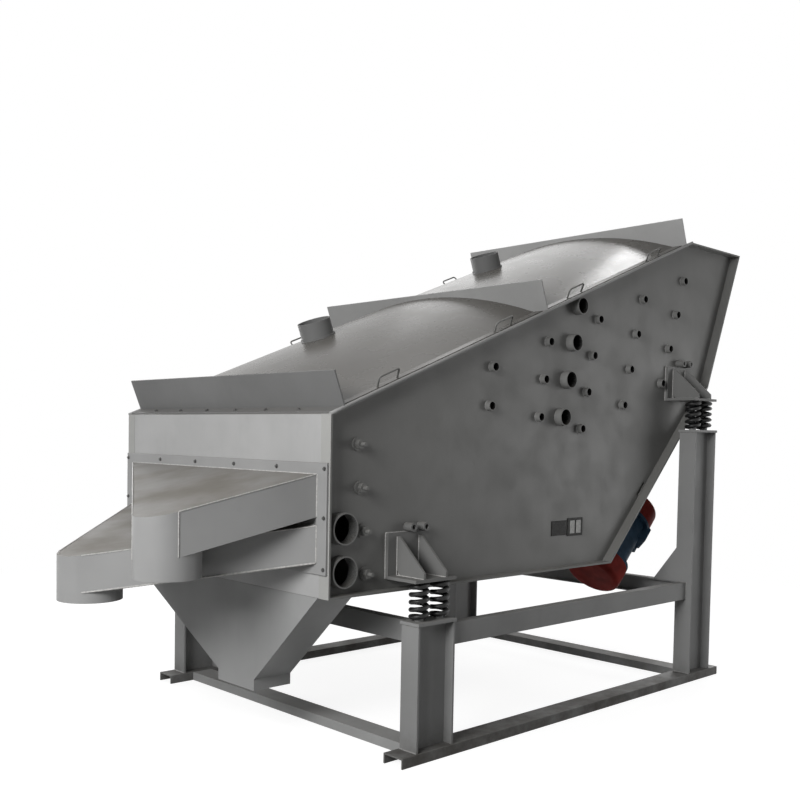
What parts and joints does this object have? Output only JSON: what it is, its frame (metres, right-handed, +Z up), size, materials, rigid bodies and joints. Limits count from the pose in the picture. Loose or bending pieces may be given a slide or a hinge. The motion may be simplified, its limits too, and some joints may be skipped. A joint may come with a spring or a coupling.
{
  "type": "vibrating screen",
  "caption": "Closed inclined vibrating screen: hexagonal sheet-steel box with vaulted covers, discharge chutes and hopper, on coil springs and a post frame.",
  "frame": {"origin": "middle of the overall box, at ground level under the base rails", "axes": "+X from the discharge end to the feed end, +Y from the side the picture shows to the far side, +Z up"},
  "size_m": [3.63, 1.744, 2.3833],
  "materials": {
    "frame_paint": "satin grey paint, dusty",
    "grey_paint": "satin grey paint, dusty",
    "spring_steel": "black, semi-gloss",
    "motor_blue": "dark blue, satin",
    "motor_red": "dark red, satin",
    "screen_mesh": "worn steel"
  },
  "bodies": {
    "root": {"base_rail_near": "frame_paint", "base_rail_far": "frame_paint", "base_cross_front": "frame_paint", "base_cross_rear": "frame_paint", "post_front_near": "frame_paint", "post_front_far": "frame_paint", "post_rear_near": "frame_paint", "post_rear_far": "frame_paint", "ring_rail_near": "frame_paint", "ring_rail_far": "frame_paint", "ring_cross_front": "frame_paint", "ring_cross_rear": "frame_paint", "corner_gussets": "frame_paint", "springs_front": "spring_steel", "springs_rear": "spring_steel", "spring_brackets_front": "grey_paint", "spring_brackets_rear": "grey_paint", "side_plate_near": "grey_paint", "side_plate_far": "grey_paint", "front_panel": "grey_paint", "bottom_plate": "grey_paint", "motor_plate": "grey_paint", "rear_wall": "grey_paint", "feed_inlet": "grey_paint", "top_frame": "grey_paint", "cover_front": "grey_paint", "cover_rear": "grey_paint", "end_plate_front": "grey_paint", "end_plate_middle": "grey_paint", "end_plate_rear": "grey_paint", "dust_outlets": "grey_paint", "cover_handles": "grey_paint", "deck_tubes": "grey_paint", "spreader_tubes": "grey_paint", "screen_decks": "screen_mesh", "side_ports": "grey_paint", "clamp_bolts": "grey_paint", "chute_flange": "grey_paint", "chute_upper": "grey_paint", "spout_upper": "grey_paint", "chute_lower": "grey_paint", "spout_lower": "grey_paint", "fines_hopper": "grey_paint", "motor_bodies": "motor_blue", "motor_caps": "motor_red"}
  },
  "joints": []
}
